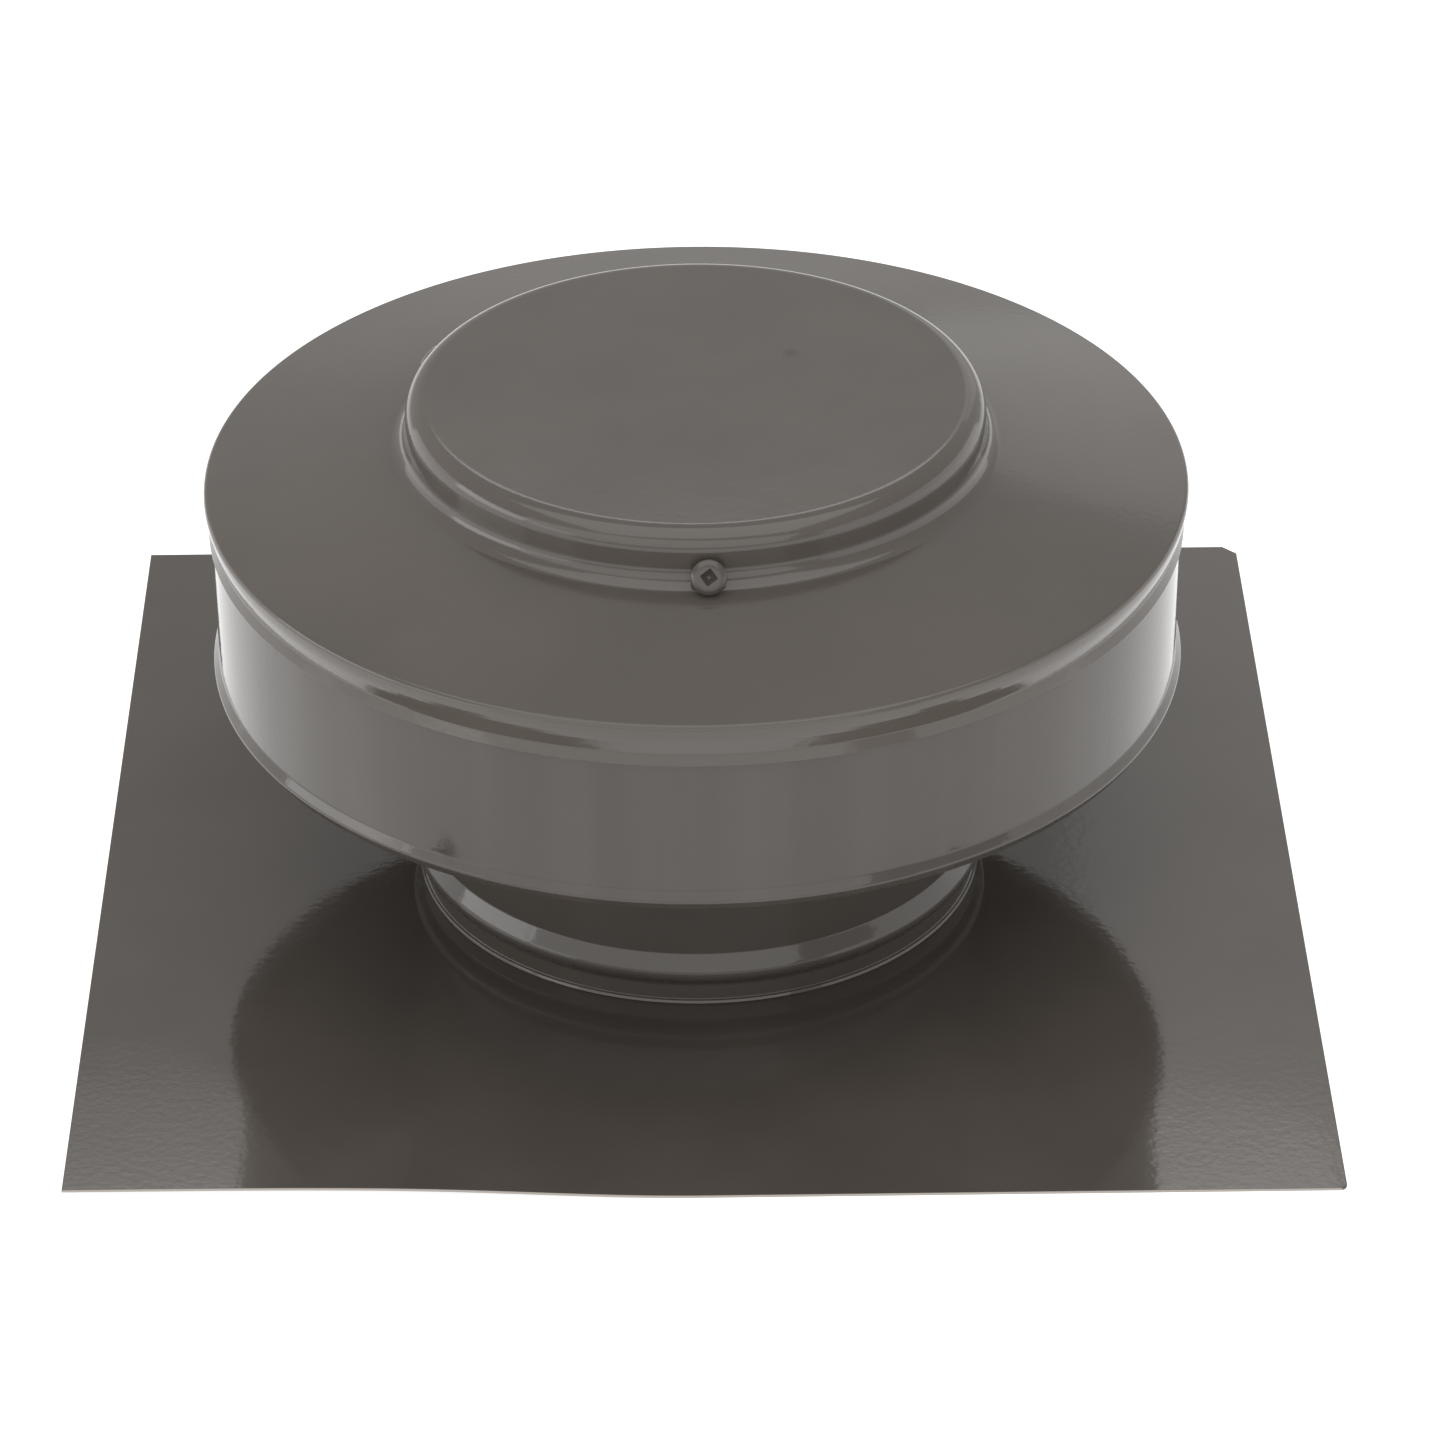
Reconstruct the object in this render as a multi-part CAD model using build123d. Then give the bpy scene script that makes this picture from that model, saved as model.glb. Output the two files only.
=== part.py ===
from build123d import *

import os
from math import cos, degrees, radians, sin, tan

# Static roof vent. A square flashing lies on the roof deck over a round hole. A throat collar
# stands in its drawn neck, and a round hood with a raised crown is held over the collar by three
# straps. Air rises through the throat and leaves under the hood's lip.
# Millimetres, +Z up. The origin is on the throat's axis, at the underside of the flashing.

# A spun sheet is given by the corners (radius, height) of one of its faces and a bend radius for
# each corner between its ends. Walked in that order, the sheet lies to the right of the face.

# Sheets and the clearances between pieces
sheet = 0.8
strap_sheet = 1.2
screen_sheet = 0.6
seat_gap = 0.05
neck_gap = 0.1
skirt_gap = 0.2
tab_gap = 0.1

# Flashing
flashing_width = 330.2
clipped_corner = 4.0
rounded_corner = 2.0
neck_bend = 0.5
neck_land = 8.0
neck_hook = 0.55

# Throat collar, heights above the flashing
throat_radius = 77.2
throat_height = 94.2
bead_low = 6.0
bead_under = 3.7
bead_over = 6.8
bead_reach = 3.7
bead_bend = 2.2
bead_root = 2.0
foot_reach = 1.0
foot_bend = 0.5

# Hood band. The hood's other heights stack up from its lip.
band_radius = 130.85
lip_bottom = 66.5
lip_height = 5.4
lip_crest = 2.7
lip_reach = 1.7
lip_return = 0.2
lip_bend = 1.2
band_neck_bend = 2.0
flare_share = 0.7

# Cap, from its hem upward
band_height = 43.4
hem_height = 3.0
hem_flare = 1.15
crease_bend = 0.5
skirt_height = 5.6
skirt_undercut = 18.4
nose_height = 3.4
nose_undercut = 4.0
nose_bend = 14.0
rim_bend = 1.6
annulus_pitch = 10.8
crown_radius = 78.0
crown_height = 14.1
crown_bend = 6.0
cove_bend = 5.4

# Straps, their screws and their rivets
strap_count = 3
first_strap = -88.2
strap_width = 18.0
strap_foot = 24.0
strap_foot_bend = 2.0
strap_tab_bend = 2.5
tab_above_screw = 5.0
tab_below_screw = 9.0
screw_pitch = 30.0
screw_radius = 2.3
screw_length = 13.0
screw_clearance = 0.1
screw_head_radius = 4.7
screw_head_height = 2.6
screw_head_edge = 1.5
recess_width = 3.3
recess_depth = 1.9
recess_turn = 35.0
rivet_radius = 1.6
rivet_head_radius = 3.2
rivet_head_height = 1.2
rivet_tail_radius = 2.3
rivet_tail_height = 1.8
rivet_edge = 6.0

# Insect screen
screen_drop = 1.5
screen_rim = 12.0
screen_bend = 1.2
screen_pitch = 12.7
screen_hole = 10.7
screen_border = 5.0


def shifted(points, bends, shift):
    """Moves a path sideways, to its left for a positive shift, and matches its bend radii."""
    points = [Vector(*point) for point in points]
    runs = [(after - before).normalized() for before, after in zip(points, points[1:])]
    lefts = [Vector(-run.Y, run.X) for run in runs]
    moved = [points[0] + lefts[0] * shift]
    moved_bends = []
    for point, bend, before, after in zip(points[1:-1], bends, range(len(runs)), range(1, len(runs))):
        spread = 1 + lefts[before].dot(lefts[after])
        moved.append(point + (lefts[before] + lefts[after]) * (shift / spread))
        turns_left = runs[before].cross(runs[after]).Z > 0
        moved_bends.append(bend - shift if turns_left else bend + shift)
    moved.append(points[-1] + lefts[-1] * shift)
    return moved, moved_bends


def sheet_section(points, bends, thickness):
    """The cut face of a bent sheet that lies to the right of the given path."""
    face_path = FilletPolyline(*points, radius=bends)
    back_points, back_bends = shifted(points, bends, -thickness)
    back_path = FilletPolyline(*back_points, radius=back_bends)
    ends = [Line(face_path @ 0, back_path @ 0), Line(face_path @ 1, back_path @ 1)]
    return make_face([*face_path.edges(), *back_path.edges(), *ends])


def spun(points, bends, thickness, arc=360.0):
    """A bent sheet carried round the throat's axis, centred on the front when it isn't a full turn."""
    section = Plane.XZ * sheet_section(points, bends, thickness)
    return Rot(Z=-arc / 2) * revolve(section, axis=Axis.Z, revolution_arc=arc)


def around(piece):
    """The piece repeated at each strap's place."""
    return [Rot(Z=first_strap + index * 360 / strap_count) * piece for index in range(strap_count)]


def save(name, solids):
    """Writes one node as a STEP file."""
    piece = Compound(label=name, children=solids) if isinstance(solids, list) else solids
    piece.label = name
    export_step(piece, f"parts/{name}.step")


# Paths of the spun sheets. Each one that fits another starts from the other's shifted path.
deck = sheet

collar_path = [
    (throat_radius, deck + throat_height),
    (throat_radius, deck + bead_low + bead_under + bead_over),
    (throat_radius + bead_reach, deck + bead_low + bead_under),
    (throat_radius, deck + bead_low),
    (throat_radius, deck + sheet),
    (throat_radius + foot_reach, deck + sheet),
]
collar_bends = [bead_root, bead_bend, bead_root, foot_bend]

lock_path, lock_bends = shifted(collar_path, collar_bends, -(sheet + neck_gap))
lock_crest, lock_groove = lock_path[2], lock_path[3]
neck_join = lock_groove.X + neck_land
neck_path = [
    lock_groove + (lock_crest - lock_groove) * neck_hook,
    lock_groove,
    (lock_groove.X, deck),
    (neck_join, deck),
]
neck_bends = [lock_bends[2], neck_bend]

hem_radius = band_radius + skirt_gap + sheet
hem_bottom = lip_bottom + band_height
crease_radius = hem_radius - hem_flare
crease_height = hem_bottom + hem_height
knuckle_radius = crease_radius + skirt_height * tan(radians(skirt_undercut))
knuckle_height = crease_height + skirt_height
rim_radius = knuckle_radius + nose_height * tan(radians(nose_undercut))
rim_top = knuckle_height + nose_height
annulus_slope = tan(radians(annulus_pitch))
annulus_top = rim_top + (rim_radius - crown_radius) * annulus_slope
crown_top = annulus_top + crown_height
cap_path = [
    (0, crown_top),
    (crown_radius, crown_top),
    (crown_radius, annulus_top),
    (rim_radius, rim_top),
    (knuckle_radius, knuckle_height),
    (crease_radius, crease_height),
    (hem_radius, hem_bottom),
]
cap_bends = [crown_bend, cove_bend, rim_bend, nose_bend, crease_bend]

skirt_path, skirt_bends = shifted(cap_path, cap_bends, -(sheet + skirt_gap))
skirt_knuckle, skirt_crease = skirt_path[4], skirt_path[5]
band_path = [
    skirt_crease + (skirt_knuckle - skirt_crease) * flare_share,
    skirt_crease,
    (band_radius, hem_bottom),
    (band_radius, lip_bottom + lip_height),
    (band_radius + lip_reach, lip_bottom + lip_crest),
    (band_radius + lip_return, lip_bottom),
]
band_bends = [skirt_bends[4], band_neck_bend, lip_bend, lip_bend]

# The screws point at the centre of the cove's bend, and their heads rest on the annulus beside it.
cove_radius = crown_radius + cove_bend
cove_height = annulus_top - cove_bend * annulus_slope + cove_bend / cos(radians(annulus_pitch))
cove_centre = Vector(cove_radius, cove_height)
screw_out = Vector(cos(radians(screw_pitch)), sin(radians(screw_pitch)))
tab_down = Vector(screw_out.Y, -screw_out.X)
seat_angle = radians(screw_pitch + annulus_pitch)
head_seat = (cove_bend - seat_gap - screw_head_radius * cos(seat_angle)) / sin(seat_angle)
tab_seat = cove_bend + sheet + tab_gap + strap_sheet
tab_middle = cove_centre - screw_out * tab_seat

strap_seat = throat_radius + seat_gap
strap_top = deck + throat_height
strap_path = [
    (strap_seat, strap_top - strap_foot),
    (strap_seat, strap_top),
    tab_middle + tab_down * tab_below_screw,
    tab_middle - tab_down * tab_above_screw,
]
strap_bends = [strap_foot_bend, strap_tab_bend]
strap_arc = degrees(strap_width / throat_radius)
high_rivet = strap_top - rivet_edge
low_rivet = strap_top - strap_foot + rivet_edge

screen_radius = throat_radius - sheet - seat_gap
screen_top = strap_top - screen_drop
screen_path = [(0, screen_top), (screen_radius, screen_top), (screen_radius, screen_top - screen_rim)]


def screw_place(distance):
    """The plane square to the first screw's axis, a distance short of the cove bend's centre."""
    middle = cove_centre - screw_out * distance
    return Plane((middle.X, 0, middle.Y), x_dir=(0, 1, 0), z_dir=(screw_out.X, 0, screw_out.Y))


def rivet_place(radius, height):
    """The plane square to a rivet on the first strap, facing away from the throat's axis."""
    return Plane((radius, 0, height), x_dir=(0, 1, 0), z_dir=(1, 0, 0))


def screw_holes(radius):
    """Pins that cut the screws' holes, right through the cove and the tabs."""
    return around(screw_place(tab_seat) * Cylinder(radius, 2 * cove_bend))


def rivet_holes(height):
    """Pins that cut the rivets' holes at one height, through the strap, the tube and the screen."""
    pin = Cylinder(rivet_radius + seat_gap, 4 * (sheet + strap_sheet))
    return around(rivet_place(throat_radius, height) * pin)


def make_base_flashing():
    """Flat square sheet with a drawn neck, whose top edge is hooked into the collar's bead."""
    outline = Rectangle(flashing_width, flashing_width)
    outline = chamfer(outline.vertices().sort_by(lambda corner: corner.X + corner.Y)[-1], clipped_corner)
    outline = fillet(outline.vertices().sort_by(lambda corner: corner.X - corner.Y)[-1], rounded_corner)
    plate = extrude(outline - Circle(neck_join), amount=sheet)
    return plate + spun(neck_path, neck_bends, sheet)


def make_throat_collar():
    """Tube with a rolled bead near its foot and a short foot flange that rests on the flashing."""
    return spun(collar_path, collar_bends, sheet) - rivet_holes(high_rivet) - rivet_holes(low_rivet)


def make_hood_band():
    """Cylinder drawn in and flared inside the cap's skirt, with a small folded lip at its bottom."""
    return spun(band_path, band_bends, sheet)


def make_cap_top():
    """Spun lid: flat crown, cove, sloped annulus, rounded rim, undercut skirt and flared hem."""
    return spun(cap_path, cap_bends, sheet) - screw_holes(screw_radius + 2 * screw_clearance)


def make_strap():
    """Strap curved to the tube, leaning out to a tab that lies along the cove's underside."""
    strap = spun(strap_path, strap_bends, strap_sheet, strap_arc)
    hole = screw_place(tab_seat) * Cylinder(screw_radius + screw_clearance, 2 * cove_bend)
    pin = Cylinder(rivet_radius + seat_gap, 4 * strap_sheet)
    return strap - hole - [rivet_place(strap_seat, height) * pin for height in (high_rivet, low_rivet)]


def make_cap_screw():
    """Pan head screw with a square recess, its thread left plain."""
    upward = (Align.CENTER, Align.CENTER, Align.MIN)
    downward = (Align.CENTER, Align.CENTER, Align.MAX)
    head = Cylinder(screw_head_radius, screw_head_height, align=upward)
    head = fillet(head.edges().sort_by(Axis.Z)[-1], screw_head_edge)
    recess = Box(recess_width, recess_width, recess_depth, align=downward)
    head -= Pos(Z=screw_head_height) * Rot(Z=recess_turn) * recess
    shank = Cylinder(screw_radius, screw_length, align=downward)
    shank = chamfer(shank.edges().sort_by(Axis.Z)[0], screw_radius / 2)
    return screw_place(head_seat) * (head + shank)


def make_rivet(height, inner_radius):
    """Dome head rivet through the strap, the tube and whatever lies inside the tube."""
    upward = (Align.CENTER, Align.CENTER, Align.MIN)
    outer_radius = strap_seat + strap_sheet
    grip = outer_radius - inner_radius
    head = Pos(Z=grip) * Cylinder(rivet_head_radius, rivet_head_height, align=upward)
    head = fillet(head.edges().sort_by(Axis.Z)[-1], rivet_head_height * 0.8)
    shank = Cylinder(rivet_radius, grip, align=upward)
    tail = Cylinder(rivet_tail_radius, rivet_tail_height, align=(Align.CENTER, Align.CENTER, Align.MAX))
    tail = fillet(tail.edges().sort_by(Axis.Z)[0], rivet_tail_height / 2)
    return rivet_place(inner_radius, height) * (head + shank + tail)


def make_insect_screen():
    """Punched disc across the top of the throat, its rim turned down inside the tube."""
    disc = spun(screen_path, [screen_bend], screen_sheet)
    reach = screen_radius - screen_bend - screen_border
    span = int(reach // screen_pitch)
    steps = [step * screen_pitch for step in range(-span, span + 1)]
    half = screen_hole / 2
    hole = Pos(Z=screen_top) * Box(screen_hole, screen_hole, 4 * screen_sheet)
    inside = [(x, y) for x in steps for y in steps if (abs(x) + half) ** 2 + (abs(y) + half) ** 2 < reach ** 2]
    return disc - [Pos(x, y) * hole for x, y in inside] - rivet_holes(high_rivet)


os.makedirs("parts", exist_ok=True)

save("base_flashing", make_base_flashing())
save("throat_collar", make_throat_collar())
save("hood_band", make_hood_band())
save("cap_top", make_cap_top())
save("insect_screen", make_insect_screen())

for number, strap in enumerate(around(make_strap()), start=1):
    save(f"cap_strap_{number}", strap)

save("cap_screws", around(make_cap_screw()))

through_screen = make_rivet(high_rivet, screen_radius - screen_sheet - seat_gap)
through_tube = make_rivet(low_rivet, throat_radius - sheet - seat_gap)
save("strap_rivets", around(through_screen) + around(through_tube))
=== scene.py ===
from math import cos, pi, radians, sin, tan

import bpy
import numpy as np
from mathutils import Matrix, Vector


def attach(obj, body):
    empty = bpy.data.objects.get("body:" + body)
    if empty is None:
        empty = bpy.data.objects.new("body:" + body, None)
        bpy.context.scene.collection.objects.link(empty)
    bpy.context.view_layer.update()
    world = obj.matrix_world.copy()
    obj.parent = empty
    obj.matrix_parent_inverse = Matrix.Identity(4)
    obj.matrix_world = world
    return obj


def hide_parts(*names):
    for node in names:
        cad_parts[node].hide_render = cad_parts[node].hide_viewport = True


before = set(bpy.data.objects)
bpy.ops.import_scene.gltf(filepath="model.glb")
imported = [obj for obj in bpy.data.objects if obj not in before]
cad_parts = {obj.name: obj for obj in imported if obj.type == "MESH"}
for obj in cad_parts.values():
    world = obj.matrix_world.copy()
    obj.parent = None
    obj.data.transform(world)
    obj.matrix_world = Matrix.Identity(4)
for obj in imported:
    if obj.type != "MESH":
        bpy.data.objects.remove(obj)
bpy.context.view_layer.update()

# Static roof vent. Sizes are in millimetres, most of them named as in the part's source. The sheets
# are its sheets again, with finer bends and edges. The straps, rivets and screen are the packed
# solids.
MM = 0.001
SHEET = 0.8
SHEET_EDGE = 0.18
NECK_GAP = 0.1
SKIRT_GAP = 0.2

# Fineness of the meshes
AROUND = 384
ARC_STEP = radians(5.0)
LONGEST_STEP = 6.0
STRAIGHT_RUN = 0.8
NEAR_BEND = 0.06

# Flashing
FLASHING_HALF = 165.1
CLIPPED_CORNER = 4.0
ROUNDED_CORNER = 2.0
CORNER_POINTS = 7
NECK_BEND = 0.5
NECK_LAND = 8.0
NECK_HOOK = 0.55
OUTLINE_STEP = 3.0
SHEET_STEP = 8.0

# The flashing in the photo is bent up on its left, more so at the front
LIFT_MIDDLE = 2.7
LIFT_FRONT = 1.4
LIFT_WIDTH = 61.0
LIFT_RISE = 80.0

# Throat collar
THROAT_RADIUS = 77.2
THROAT_TOP = 95.0
BEAD_TOP = 16.4
BEAD_CREST = 10.5
BEAD_BOTTOM = 6.8
BEAD_REACH = 3.7
BEAD_BENDS = [0.8, 3.2, 2.0]
FOOT_HEIGHT = 1.75
FOOT_REACH = 0.65
FOOT_BEND = 0.4
FOOT_EDGE = 0.1
FOOT_BEVEL_REACH = 1.05
FOOT_BEVEL_HEIGHT = 0.93

# Hood band. The hood's other heights stack up from its lip.
BAND_RADIUS = 130.85
LIP_BOTTOM = 66.5
LIP_HEIGHT = 5.4
LIP_CREST = 2.7
LIP_REACH = 1.7
LIP_RETURN = 0.2
LIP_BEND = 1.2
BAND_HEIGHT = 43.4
BAND_NECK_BEND = 2.0
FLARE_SHARE = 0.7

# Cap, from its hem upward
HEM_HEIGHT = 3.0
HEM_FLARE = 1.15
CREASE_BEND = 0.5
SKIRT_HEIGHT = 5.6
SKIRT_UNDERCUT = radians(18.4)
NOSE_HEIGHT = 3.4
NOSE_UNDERCUT = radians(4.0)
NOSE_BEND = 14.0
RIM_BEND = 1.6
ANNULUS_PITCH = radians(10.8)
CROWN_RADIUS = 78.0
CROWN_HEIGHT = 14.1
CROWN_BEND = 6.0
COVE_BEND = 5.4

HEM_RADIUS = BAND_RADIUS + SKIRT_GAP + SHEET
HEM_BOTTOM = LIP_BOTTOM + BAND_HEIGHT
CREASE_RADIUS = HEM_RADIUS - HEM_FLARE
CREASE_TOP = HEM_BOTTOM + HEM_HEIGHT
NOSE_RADIUS = CREASE_RADIUS + SKIRT_HEIGHT * tan(SKIRT_UNDERCUT)
NOSE_BOTTOM = CREASE_TOP + SKIRT_HEIGHT
RIM_RADIUS = NOSE_RADIUS + NOSE_HEIGHT * tan(NOSE_UNDERCUT)
RIM_TOP = NOSE_BOTTOM + NOSE_HEIGHT
ANNULUS_TOP = RIM_TOP + (RIM_RADIUS - CROWN_RADIUS) * tan(ANNULUS_PITCH)
CROWN_TOP = ANNULUS_TOP + CROWN_HEIGHT

# Screws
STRAP_ANGLES = [-88.2, 31.8, 151.8]
SCREW_SIDES = 96
SCREW_PITCH = radians(30.0)
SCREW_RADIUS = 2.3
SCREW_LENGTH = 13.0
SCREW_SEAT_GAP = 0.05
THREAD_PITCH = 1.3
THREAD_DEPTH = 0.42
THREAD_RINGS = 90
TIP_SHARE = 0.45
TIP_LENGTH = 1.21
HEAD_RADIUS = 4.7
HEAD_HEIGHT = 2.6
HEAD_EDGE = 1.45
HEAD_BENDS = [0.8, 2.2]
HEAD_ARC_STEP = radians(6.0)
HEAD_STEP = 0.6
DOME_RADIUS = 3.5
DOME_HEIGHT = 2.3
RECESS_HALF = 1.65
RECESS_DEPTH = 1.9
RECESS_TURN = radians(35.0)
RECESS_CORNER = 1.33
RECESS_MARGIN = 1.75

# The recess's square as it sinks: its share of the full width, and its depth below the head's top
RECESS_RINGS = [
    (1.1, 0.08), (1.03, 0.12), (0.99, 0.3), (0.86, 0.8), (0.5, 1.4), (0.36, 1.65), (0.2, 1.8),
]


# Paths and sections

def directions(points):
    """Unit vectors of the runs between the points of a path."""
    runs = np.diff(points, axis=0)
    return runs / np.linalg.norm(runs, axis=1)[:, None]


def shifted(points, bends, shift):
    """The path moved sideways, to its left for a positive shift, with its bend radii to match."""
    points = np.array(points, float)
    runs = directions(points)
    lefts = np.stack([-runs[:, 1], runs[:, 0]], axis=1)
    spread = 1 + (lefts[:-1] * lefts[1:]).sum(axis=1)
    corners = points[1:-1] + (lefts[:-1] + lefts[1:]) * (shift / spread)[:, None]
    turn = runs[:-1, 0] * runs[1:, 1] - runs[:-1, 1] * runs[1:, 0]
    moved = np.vstack([points[0] + lefts[0] * shift, corners, points[-1] + lefts[-1] * shift])
    return moved, list(np.array(bends) - np.sign(turn) * shift)


def rounded(points, bends, arc_step=ARC_STEP):
    """The path with its inner corners rounded: each arc touches both runs at bend * tan(turn / 2)."""
    points = np.array(points, float)
    runs = directions(points)
    line = [points[0]]
    for corner, bend, before, after in zip(points[1:-1], bends, runs, runs[1:]):
        turn = np.arctan2(before[0] * after[1] - before[1] * after[0], before @ after)
        reach = bend * tan(abs(turn) / 2)
        left = np.array([-before[1], before[0]]) * np.sign(turn)
        centre = corner - before * reach + left * bend
        for step in np.linspace(0, turn, max(2, int(abs(turn) / arc_step) + 2)):
            swing = np.array([[cos(step), -sin(step)], [sin(step), cos(step)]])
            line.append(centre - swing @ left * bend)
    line.append(points[-1])
    return np.array(line)


def divided(line, longest):
    """The line with no step over longest. Points near a straight run's ends keep its shading straight."""
    pieces = [line[:1]]
    for start, end in zip(line, line[1:]):
        length = np.linalg.norm(end - start)
        steps = np.linspace(0, 1, max(1, int(np.ceil(length / longest))) + 1)[1:]
        if length > STRAIGHT_RUN:
            near = NEAR_BEND / length
            steps = np.array([near, *steps[:-1], 1 - near, 1])
        pieces.append(start + (end - start) * steps[:, None])
    return np.vstack(pieces)


def sheet_loop(points, bends, closed=True, longest=LONGEST_STEP, edge=SHEET_EDGE, foot=()):
    """Both faces of a bent sheet as one line: out along the path, round by the foot's corners, and back."""
    back, back_bends = shifted(points, bends, -SHEET)
    corners = np.vstack([points, *foot, back[::-1]])
    radii = [*bends, *[edge] * (2 + len(foot)), *back_bends[::-1]]
    if closed:
        middle = (corners[-1] + corners[0]) / 2
        corners = np.vstack([middle, corners, middle])
        return divided(rounded(corners, [edge, *radii, edge]), longest)[:-1]
    return divided(rounded(corners, radii), longest)


# Meshes

def full_circle(sides):
    """Angles of a circle's points, and the points themselves."""
    angle = np.linspace(0, 2 * pi, sides, endpoint=False)
    return angle, np.stack([np.cos(angle), np.sin(angle)], axis=1)


def make_piece(name, vertices, faces, node):
    """A smooth piece on the root body that stands for the given CAD node."""
    mesh = bpy.data.meshes.new(name)
    mesh.from_pydata((np.asarray(vertices) * MM).tolist(), [], faces)
    mesh.polygons.foreach_set("use_smooth", [True] * len(mesh.polygons))
    mesh.update()
    piece = bpy.data.objects.new(name, mesh)
    bpy.context.scene.collection.objects.link(piece)
    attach(piece, "root")
    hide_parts(node)
    return piece


def grid_faces(rings, across, close_rings):
    """Quads between neighbouring rings of a grid whose rings each close on themselves."""
    ring_ids = np.arange(rings if close_rings else rings - 1)
    a = ring_ids[:, None] * across + np.arange(across)[None, :]
    b = ring_ids[:, None] * across + (np.arange(across) + 1)[None, :] % across
    count = across * rings
    return np.stack([a, b, (b + across) % count, (a + across) % count], axis=-1).reshape(-1, 4).tolist()


def pole_faces(first, last, last_ring, across):
    """Triangles that close a grid of rings by its first and last pole."""
    faces = []
    for k in range(across):
        after = (k + 1) % across
        faces.append([first, after, k])
        faces.append([last, last_ring + k, last_ring + after])
    return faces


def spun(name, loop, node, poles=False):
    """Surface of revolution of a line of (radius, height) points. Poles close it on the axis."""
    circle = full_circle(AROUND)[1]
    rings = loop[1:-1] if poles else loop
    vertices = np.empty((len(rings), AROUND, 3))
    vertices[:, :, :2] = rings[:, None, :1] * circle[None]
    vertices[:, :, 2] = rings[:, None, 1]
    vertices = vertices.reshape(-1, 3)
    faces = grid_faces(len(rings), AROUND, not poles)
    if poles:
        count = len(vertices)
        faces += pole_faces(count, count + 1, count - AROUND, AROUND)
        vertices = np.vstack([vertices, [0, 0, loop[0, 1]], [0, 0, loop[-1, 1]]])
    return make_piece(name, vertices, faces, node)


# The spun sheets

collar_path = [
    (THROAT_RADIUS, THROAT_TOP),
    (THROAT_RADIUS, BEAD_TOP),
    (THROAT_RADIUS + BEAD_REACH, BEAD_CREST),
    (THROAT_RADIUS, BEAD_BOTTOM),
    (THROAT_RADIUS, FOOT_HEIGHT),
    (THROAT_RADIUS + FOOT_REACH, FOOT_HEIGHT),
]
collar_bends = [*BEAD_BENDS, FOOT_BEND]
collar_foot = [(THROAT_RADIUS + FOOT_BEVEL_REACH, FOOT_BEVEL_HEIGHT)]
cap_path = [
    (0, CROWN_TOP),
    (CROWN_RADIUS, CROWN_TOP),
    (CROWN_RADIUS, ANNULUS_TOP),
    (RIM_RADIUS, RIM_TOP),
    (NOSE_RADIUS, NOSE_BOTTOM),
    (CREASE_RADIUS, CREASE_TOP),
    (HEM_RADIUS, HEM_BOTTOM),
]
cap_bends = [CROWN_BEND, COVE_BEND, RIM_BEND, NOSE_BEND, CREASE_BEND]
skirt_path, skirt_bends = shifted(cap_path, cap_bends, -(SHEET + SKIRT_GAP))
skirt_nose, skirt_crease = skirt_path[4], skirt_path[5]
band_path = [
    skirt_crease + (skirt_nose - skirt_crease) * FLARE_SHARE,
    skirt_crease,
    (BAND_RADIUS, HEM_BOTTOM),
    (BAND_RADIUS, LIP_BOTTOM + LIP_HEIGHT),
    (BAND_RADIUS + LIP_REACH, LIP_BOTTOM + LIP_CREST),
    (BAND_RADIUS + LIP_RETURN, LIP_BOTTOM),
]
band_bends = [skirt_bends[4], BAND_NECK_BEND, LIP_BEND, LIP_BEND]

cap = spun("cap_shell", sheet_loop(cap_path, cap_bends, closed=False), "cap_top", poles=True)
band = spun("hood_band_shell", sheet_loop(band_path, band_bends), "hood_band")
collar_loop = sheet_loop(collar_path, collar_bends, edge=FOOT_EDGE, foot=collar_foot)
collar = spun("collar_tube", collar_loop, "throat_collar")


# The flashing

def flashing_outline():
    """The flashing's edge, anticlockwise from its front left corner, as points and the angle of each."""
    half = FLASHING_HALF
    corner = half - ROUNDED_CORNER
    turns = np.linspace(0, pi / 2, CORNER_POINTS)
    arc = [(corner + ROUNDED_CORNER * sin(turn), -corner - ROUNDED_CORNER * cos(turn)) for turn in turns]
    clip = [(half, half - CLIPPED_CORNER), (half - CLIPPED_CORNER, half)]
    edge = np.array([(-half, -half), *arc, *clip, (-half, half), (-half, -half)])
    outline = divided(edge, OUTLINE_STEP)[:-1]
    return outline, np.arctan2(outline[:, 1], outline[:, 0])


def lift(x, y):
    """How far the sheet is bent up: about 4 mm at the front left corner, nothing on the right half."""
    leftward = 1 - np.exp(-(np.clip(-x, 0, None) / LIFT_WIDTH) ** 2)
    outward = np.clip((np.hypot(x, y) - THROAT_RADIUS - NECK_LAND) / LIFT_RISE, 0, 1)
    height = LIFT_MIDDLE - LIFT_FRONT * y / FLASHING_HALF
    return height * leftward * outward ** 2 * (3 - 2 * outward)


def make_flashing():
    """Sheet whose rings turn from circles at the neck to the square outline: a straight blend of the two."""
    lock_path, lock_bends = shifted(collar_path, collar_bends, -(SHEET + NECK_GAP))
    crest, groove = lock_path[2], lock_path[3]
    join = groove[0] + NECK_LAND
    hook = groove + (crest - groove) * NECK_HOOK
    path = [hook, groove, (groove[0], SHEET), (FLASHING_HALF, SHEET)]
    loop = sheet_loop(path, [lock_bends[2], NECK_BEND], longest=SHEET_STEP)
    outline, angle = flashing_outline()
    circle = np.stack([np.cos(angle), np.sin(angle)], axis=1)
    blend = np.clip((loop[:, 0] - join) / (FLASHING_HALF - join), 0, 1)[:, None, None]
    near = np.minimum(loop[:, 0], join)[:, None, None] * circle[None]
    flat = near + (outline - circle * join)[None] * blend
    height = loop[:, 1:] + lift(flat[:, :, 0], flat[:, :, 1])
    vertices = np.concatenate([flat, height[:, :, None]], axis=2).reshape(-1, 3)
    faces = grid_faces(len(loop), len(angle), True)
    return make_piece("flashing_sheet", vertices, faces, "base_flashing")


flashing = make_flashing()


# The screws

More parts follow.
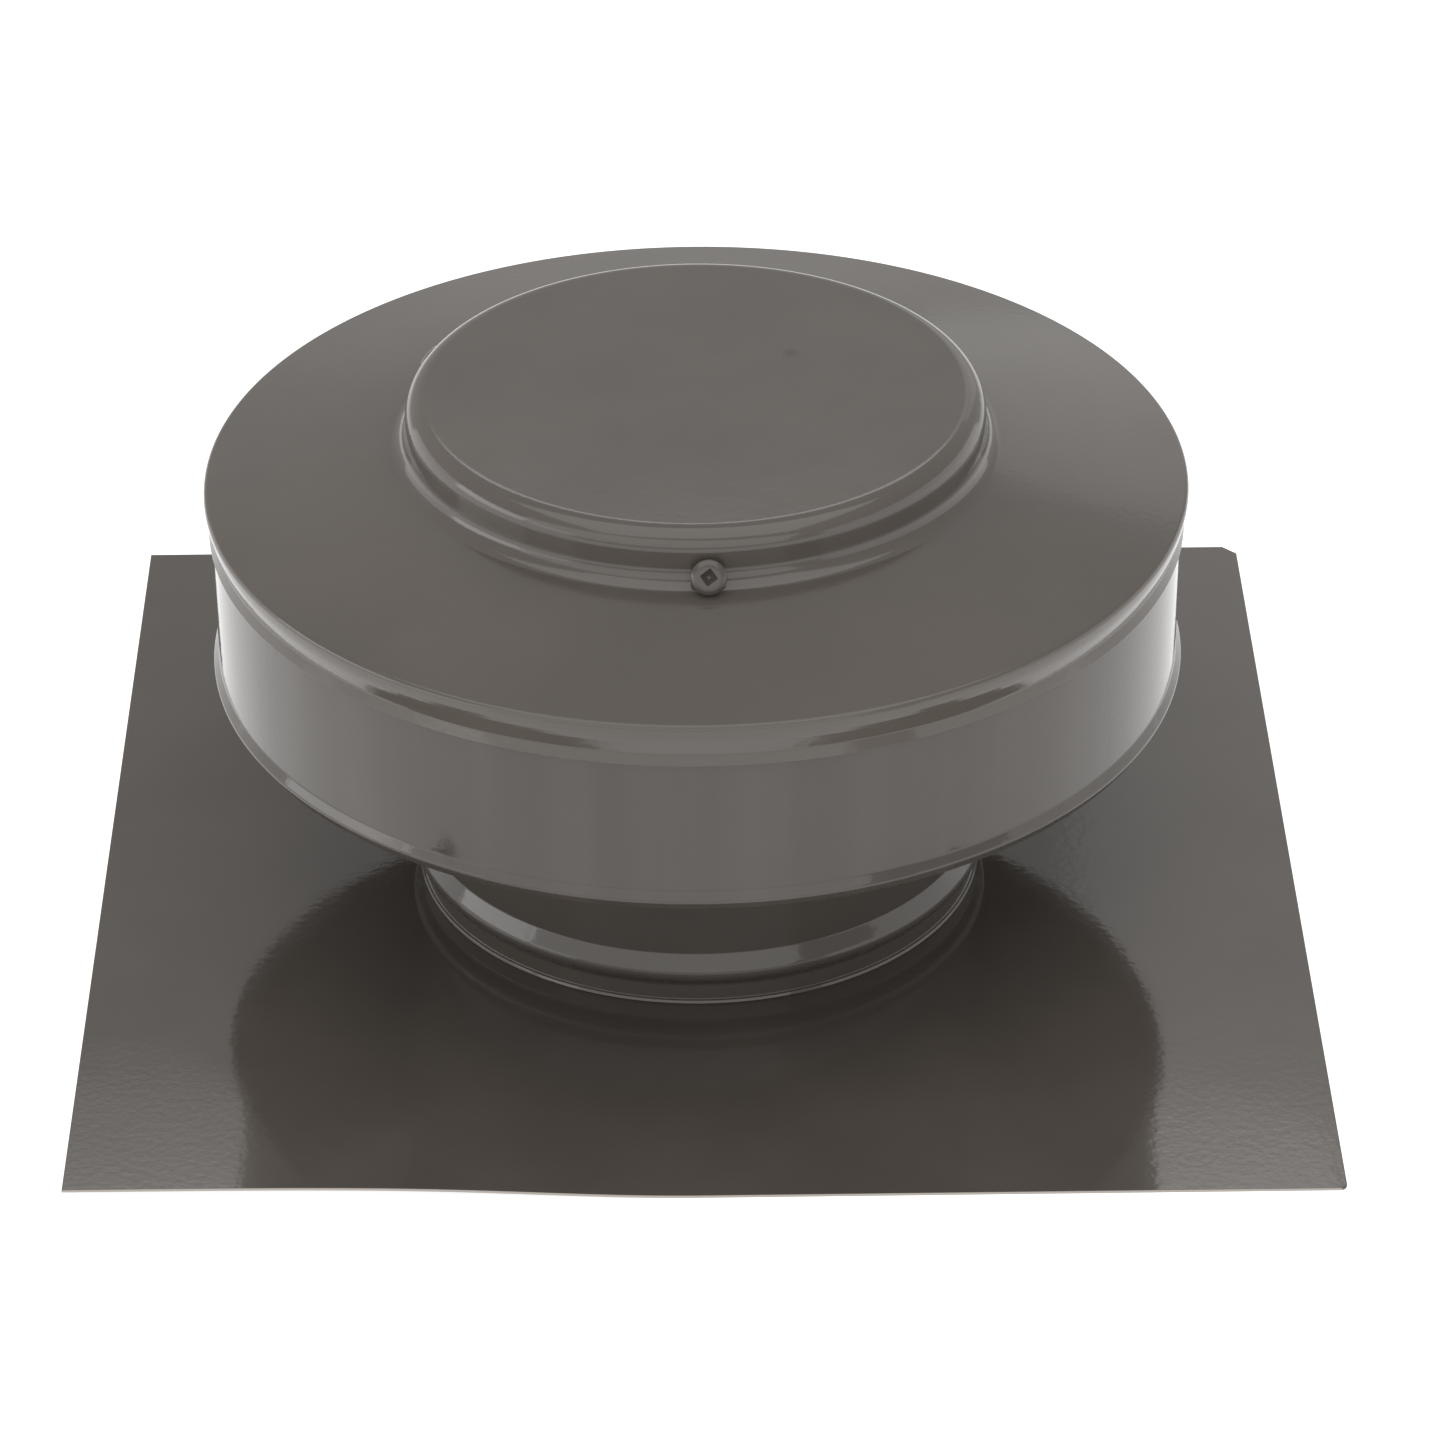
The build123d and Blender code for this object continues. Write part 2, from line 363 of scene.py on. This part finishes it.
def screw_rings():
    """Rings of a pan head screw as (radius at each angle, height), from the tip up to the recess floor."""
    angle = full_circle(SCREW_SIDES)[0]
    around = np.ones_like(angle)
    rings = []
    for z in np.linspace(-SCREW_LENGTH, 0, THREAD_RINGS):
        taper = min(1.0, TIP_SHARE + (1 - TIP_SHARE) * (z + SCREW_LENGTH) / TIP_LENGTH)
        wave = np.abs(((z / THREAD_PITCH - angle / (2 * pi)) % 1) * 2 - 1)
        rings.append((taper * (SCREW_RADIUS - THREAD_DEPTH * wave), z * around))
    dome = [(HEAD_RADIUS, 0.0), (HEAD_RADIUS, HEAD_EDGE), (DOME_RADIUS, DOME_HEIGHT), (0.0, HEAD_HEIGHT)]
    for radius, z in divided(rounded(dome, HEAD_BENDS, HEAD_ARC_STEP), HEAD_STEP):
        if radius > RECESS_HALF * RECESS_MARGIN:
            rings.append((radius * around, z * around))
    turned = angle - RECESS_TURN
    square = RECESS_HALF / np.maximum(np.abs(np.cos(turned)), np.abs(np.sin(turned)))
    square = np.minimum(square, RECESS_HALF * RECESS_CORNER)
    for scale, sink in RECESS_RINGS:
        rings.append((square * scale, (HEAD_HEIGHT - sink) * around))
    return rings


def turned_about_z(points, degrees):
    """The points turned about the vent's axis."""
    c, s = cos(radians(degrees)), sin(radians(degrees))
    return points @ np.array([[c, s, 0], [-s, c, 0], [0, 0, 1]])


def make_screws():
    """The three screws in one mesh, pointing at the middle of the cove's bend and seated beside it."""
    circle = full_circle(SCREW_SIDES)[1]
    rings = screw_rings()
    local = [np.column_stack([radius[:, None] * circle, z]) for radius, z in rings]
    tip = [0, 0, -SCREW_LENGTH]
    floor = [0, 0, HEAD_HEIGHT - RECESS_DEPTH]
    local = np.vstack([*local, tip, floor])
    count = len(local)
    faces = grid_faces(len(rings), SCREW_SIDES, False)
    faces += pole_faces(count - 2, count - 1, (len(rings) - 1) * SCREW_SIDES, SCREW_SIDES)
    cove_radius = CROWN_RADIUS + COVE_BEND
    cove_height = ANNULUS_TOP + COVE_BEND * (1 / cos(ANNULUS_PITCH) - tan(ANNULUS_PITCH))
    seat_angle = SCREW_PITCH + ANNULUS_PITCH
    seat = (COVE_BEND - SCREW_SEAT_GAP - HEAD_RADIUS * cos(seat_angle)) / sin(seat_angle)
    out = np.array([cos(SCREW_PITCH), 0, sin(SCREW_PITCH)])
    side = np.array([0, 1, 0])
    axes = np.array([side, np.cross(out, side), out])
    placed = local @ axes + np.array([cove_radius, 0, cove_height]) - out * seat
    vertices, all_faces = [], []
    for number, degrees in enumerate(STRAP_ANGLES):
        vertices.append(turned_about_z(placed, degrees))
        all_faces += [[index + number * count for index in face] for face in faces]
    return make_piece("cap_screw_set", np.vstack(vertices), all_faces, "cap_screws")


screws = make_screws()


# Materials. Sizes in them are in metres, as in the scene.

PAINT = (0.0735, 0.0632, 0.0548)
BARE_METAL = (0.32, 0.29, 0.26)
BARE_FROM = FLASHING_HALF * MM - 5e-5
BARE_FADE = 1e-4
RIVET_METAL = (0.62, 0.62, 0.62)
SCREEN_METAL = (0.66, 0.67, 0.68)

# Marks on the paint: centre, reach along each axis, and darkness
CROWN_SPOT = ((0.026, 0.020, CROWN_TOP * MM), (0.003, 0.004, 0.003), 0.8)
BAND_SMUDGE = ((-0.065, -0.1136, 0.0735), (0.004, 0.006, 0.006), 0.55)


def tinted(colour, factor):
    """A darker or lighter colour."""
    return tuple(channel * factor for channel in colour)


def shade(colour, factor=1.0):
    """The same as a shader socket wants it, with an alpha of 1."""
    return (*tinted(colour, factor), 1.0)


class Socket:
    """A node's output that can be added to, multiplied and so on in shader arithmetic."""

    def __init__(self, build, output):
        self.build = build
        self.output = output

    def math(self, operation, *others):
        return self.build.node("ShaderNodeMath", [self, *others], operation=operation)

    def __add__(self, other):
        return self.math("ADD", other)

    def __mul__(self, other):
        return self.math("MULTIPLY", other)

    def between(self, low, high, to_low=0.0, to_high=1.0):
        """Maps low..high to to_low..to_high with a smooth step, held beyond its ends."""
        inputs = [self, low, high, to_low, to_high]
        return self.build.node("ShaderNodeMapRange", inputs, interpolation_type="SMOOTHSTEP")


class Build:
    """One material's node tree."""

    def __init__(self, name):
        self.material = bpy.data.materials.new(name)
        self.material.use_nodes = True
        self.tree = self.material.node_tree
        self.shader = self.tree.nodes["Principled BSDF"]
        place = self.tree.nodes.new("ShaderNodeTexCoord")
        self.place = Socket(self, place.outputs["Object"])

    def link(self, socket, value):
        if isinstance(value, Socket):
            self.tree.links.new(value.output, socket)
        else:
            socket.default_value = value

    def finish(self, settings):
        """Sets the shader's sockets by name and gives back the material."""
        for name, value in settings.items():
            self.link(self.shader.inputs[name], value)
        return self.material

    def node(self, kind, inputs, output=0, **settings):
        """A node with its settings and inputs, by order or by name, and one of its outputs."""
        made = self.tree.nodes.new(kind)
        for key, value in settings.items():
            setattr(made, key, value)
        pairs = inputs.items() if isinstance(inputs, dict) else enumerate(inputs)
        for key, value in pairs:
            self.link(made.inputs[key], value)
        return Socket(self, made.outputs[output])

    def noise(self, size, detail=2.0, roughness=0.5, stretch=(1, 1, 1), shift=(0, 0, 0)):
        """Noise from 0 to 1 whose lumps are about size metres across."""
        scale = tuple(axis / size for axis in stretch)
        mapped = self.node("ShaderNodeMapping", {"Vector": self.place, "Scale": scale, "Location": shift})
        inputs = {"Vector": mapped, "Scale": 1.0, "Detail": detail, "Roughness": roughness}
        return self.node("ShaderNodeTexNoise", inputs)

    def spot(self, centre, sizes):
        """1 at a point in metres, falling to 0 at the given distances from it along each axis."""
        moved = self.node("ShaderNodeVectorMath", [self.place, centre], operation="SUBTRACT")
        eased = self.node("ShaderNodeVectorMath", [moved, sizes], operation="DIVIDE")
        length = self.node("ShaderNodeVectorMath", [eased], output="Value", operation="LENGTH")
        return length.between(0.0, 1.0, 1.0, 0.0)

    def sideways(self):
        """Distance from the vent's axis along X or Y, whichever is greater."""
        reach = self.node("ShaderNodeVectorMath", [self.place], operation="ABSOLUTE")
        across = self.node("ShaderNodeSeparateXYZ", [reach], output="X")
        along = self.node("ShaderNodeSeparateXYZ", [reach], output="Y")
        return across.math("MAXIMUM", along)

    def blend(self, share, first, second):
        """A colour from first to second as share goes from 0 to 1."""
        inputs = {0: share, 6: first, 7: second}
        return self.node("ShaderNodeMix", inputs, output=2, data_type="RGBA")

    def bump(self, height, distance, under=None):
        """A surface normal from a height of 0 to 1 times a distance in metres."""
        inputs = {"Height": height, "Distance": distance}
        if under is not None:
            inputs["Normal"] = under
        return self.node("ShaderNodeBump", inputs, output="Normal")


def paint(name, tone, gloss=0.075, peel=2.4e-5, wave=0.0, wave_size=0.11, reflection_stripes=0.0, marks=(), bare=False):
    """Gloss paint on sheet: orange peel, slow waves, mottling, upright stripes of painted reflection, marks
    and a bare cut edge.

    The tone is a factor on the paint's colour; the lower tones of the band, collar, flashing and screws paint
    shade into them. The gloss is a mean roughness. The peel and the wave are heights, and the stripes'
    strength sets how far upright stripes of painted reflection lighten the colour.
    """
    build = Build(name)
    colour = tinted(PAINT, tone)
    mottle = build.noise(0.05, detail=3.0).between(0.3, 0.7)
    base = build.blend(mottle, shade(colour, 0.94), shade(colour, 1.06))
    # Upright lighter stripes in the colour: painted reflection.
    if reflection_stripes:
        reflection_stripe = build.noise(0.02, stretch=(1, 1, 0.05), shift=(2, 5, 0)).between(0.4, 0.65)
        base = build.blend(reflection_stripe * reflection_stripes, base, shade(colour, 1.8))
    rough = build.noise(0.018, detail=4.0, roughness=0.6).between(0.25, 0.75, gloss - 0.015, gloss + 0.02)
    for centre, sizes, darkness in marks:
        smear = build.spot(centre, sizes) * build.noise(0.004, detail=3.0).between(0.3, 0.6)
        base = build.blend(smear * darkness, base, shade(colour, 0.35))
        rough = rough + smear * 0.12
    if bare:
        cut = build.sideways().between(BARE_FROM - BARE_FADE, BARE_FROM)
        base = build.blend(cut, base, shade(BARE_METAL))
    normal = build.bump(build.noise(0.0022, detail=1.0), peel)
    if wave:
        normal = build.bump(build.noise(wave_size, detail=1.0, roughness=0.4), wave, normal)
    return build.finish({"Base Color": base, "Roughness": rough, "Normal": normal, "IOR": 1.5})


def mill_metal(name, colour, rough, grain=(1, 1, 1)):
    """Bare rolled metal: fine rolling lines along one axis, and cloudy oxide."""
    build = Build(name)
    cloud = build.noise(0.012, detail=4.0).between(0.3, 0.7)
    base = build.blend(cloud, shade(colour, 0.86), shade(colour, 1.05))
    lines = build.noise(0.0012, stretch=grain)
    roughness = lines.between(0.2, 0.8, rough - 0.06, rough + 0.08)
    normal = build.bump(lines, 1.2e-5)
    return build.finish({"Base Color": base, "Roughness": roughness, "Normal": normal, "Metallic": 1.0})


def dress(target, material):
    """Gives the whole of a piece one material."""
    target.data.materials.clear()
    target.data.materials.append(material)


dress(cap, paint("paint_cap", 1.0, gloss=0.11, wave=6e-5, wave_size=0.07, marks=[CROWN_SPOT]))
# The band's darker tone is painted shade, and its lighter upright stripes are painted reflection.
dress(band, paint("paint_band", 0.66, wave=5e-5, wave_size=0.06, reflection_stripes=0.22, marks=[BAND_SMUDGE]))
# The collar's darker tone is painted shade under the hood.
dress(collar, paint("paint_collar", 0.88, wave=5e-5, wave_size=0.05))
# The flashing's slightly darker tone is painted shade, meant for its shaded middle under the hood.
flashing_paint = paint("paint_flashing", 0.94, gloss=0.077, peel=1.68e-5, wave=3e-4, wave_size=0.09, bare=True)
dress(flashing, flashing_paint)
# The screws' darker tone is painted shade.
dress(screws, paint("paint_screw", 0.8, gloss=0.2))
strap_paint = paint("paint_strap", 0.95, gloss=0.2)
for number in range(1, len(STRAP_ANGLES) + 1):
    dress(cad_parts[f"cap_strap_{number}"], strap_paint)
dress(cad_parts["strap_rivets"], mill_metal("rivet_metal", RIVET_METAL, 0.34))
dress(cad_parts["insect_screen"], mill_metal("screen_metal", SCREEN_METAL, 0.38, grain=(1, 14, 1)))


# Floor, light and camera, in metres

FLOOR_HALF = 6.0
FLOOR_GLOW = 0.84

# The fitted camera: place and angles, and focal length and centre in pixels of the photo
PHOTO_SIDE = 1445
CAMERA_PLACE = (-0.00791, -1.38581, 0.89655)
CAMERA_PITCH = radians(31.676)
CAMERA_YAW = radians(0.545)
CAMERA_ROLL = radians(-0.358)
FOCAL_PIXELS = 5877.9
CENTRE_PIXELS = (717.2, 723.3)
SENSOR_WIDTH = 36.0

# Light from behind, brighter with height: bottom, top and brightness of each strip
BACK_STRIPS = [(0.9, 0.94, 0.44), (0.94, 0.98, 0.75), (0.98, 1.25, 1.7)]
BACK_WIDTH = 0.72
BACK_PLACE = 1.2


def make_floor():
    """White floor that glows, so that no shadow shows on it. It is wide enough to fill the view."""
    half = FLOOR_HALF
    corners = [(-half, -half, 0), (half, -half, 0), (half, half, 0), (-half, half, 0)]
    mesh = bpy.data.meshes.new("floor")
    mesh.from_pydata(corners, [], [(0, 1, 2, 3)])
    floor = bpy.data.objects.new("floor", mesh)
    bpy.context.scene.collection.objects.link(floor)
    build = Build("floor_white")
    tone = build.blend(build.noise(0.4), (0.53, 0.53, 0.53, 1), (0.55, 0.55, 0.55, 1))
    glow = {"Emission Color": (1, 1, 1, 1), "Emission Strength": FLOOR_GLOW}
    dress(floor, build.finish({"Base Color": tone, "Roughness": 0.9, **glow}))


def area_light(name, place, facing, size, brightness):
    """Soft light at a place, facing a direction. Its power is pi * area * brightness."""
    data = bpy.data.lights.new(name, "AREA")
    data.shape = "RECTANGLE"
    data.size, data.size_y = size
    data.energy = pi * size[0] * size[1] * brightness
    lamp = bpy.data.objects.new(name, data)
    lamp.location = place
    lamp.rotation_euler = Vector(facing).to_track_quat("-Z", "Y").to_euler()
    bpy.context.scene.collection.objects.link(lamp)


def make_lights():
    """Panels for the paint to mirror: crown and annulus show those behind, the band those beside it."""
    area_light("overhead", (0.0, -0.35, 1.5), (0, 0, -1), (1.9, 1.5), 1.2)
    area_light("front", (-0.65, -1.75, 0.95), (0.2, 0.9, -0.44), (4.6, 1.3), 1.0)
    area_light("left", (-1.28, -0.15, 0.4), (1, 0.2, -0.3), (0.8, 0.36), 2.1)
    area_light("left_wall", (-2.1, 0.1, 0.42), (1, 0, 0), (4.2, 0.8), 0.82)
    area_light("right_wall", (2.1, 0.1, 0.42), (-1, 0, 0), (4.2, 0.8), 0.82)
    area_light("back_right", (0.45, BACK_PLACE, 0.62), (0, -1, 0), (0.5, 0.56), 0.36)
    for low, high, brightness in BACK_STRIPS:
        place = (0.0, BACK_PLACE, (low + high) / 2)
        area_light(f"back_{high:.2f}", place, (0, -1, 0), (BACK_WIDTH, high - low), brightness)


def make_world():
    """Even, slightly warm light from all round."""
    world = bpy.data.worlds.new("studio")
    world.use_nodes = True
    sky = world.node_tree.nodes["Background"].inputs
    sky["Color"].default_value = (1.0, 0.995, 0.985, 1)
    sky["Strength"].default_value = 0.67
    bpy.context.scene.world = world


def make_camera():
    """Camera at the photograph's place, angle and focal length."""
    pitch, yaw, roll = CAMERA_PITCH, CAMERA_YAW, CAMERA_ROLL
    ahead = np.array([sin(yaw) * cos(pitch), cos(yaw) * cos(pitch), -sin(pitch)])
    level = np.array([cos(yaw), -sin(yaw), 0.0])
    upright = np.cross(level, ahead)
    right = cos(roll) * level + sin(roll) * upright
    up = -sin(roll) * level + cos(roll) * upright
    middle = PHOTO_SIDE / 2
    data = bpy.data.cameras.new("camera")
    data.sensor_width = SENSOR_WIDTH
    data.lens = FOCAL_PIXELS / PHOTO_SIDE * SENSOR_WIDTH
    data.shift_x = (middle - CENTRE_PIXELS[0]) / PHOTO_SIDE
    data.shift_y = (CENTRE_PIXELS[1] - middle) / PHOTO_SIDE
    data.clip_end = 50.0
    camera = bpy.data.objects.new("camera", data)
    turn = Matrix(np.stack([right, up, -ahead], axis=1).tolist()).to_4x4()
    camera.matrix_world = Matrix.Translation(CAMERA_PLACE) @ turn
    bpy.context.scene.collection.objects.link(camera)
    bpy.context.scene.camera = camera


make_floor()
make_camera()
make_lights()
make_world()
bpy.context.scene.view_settings.view_transform = "Standard"
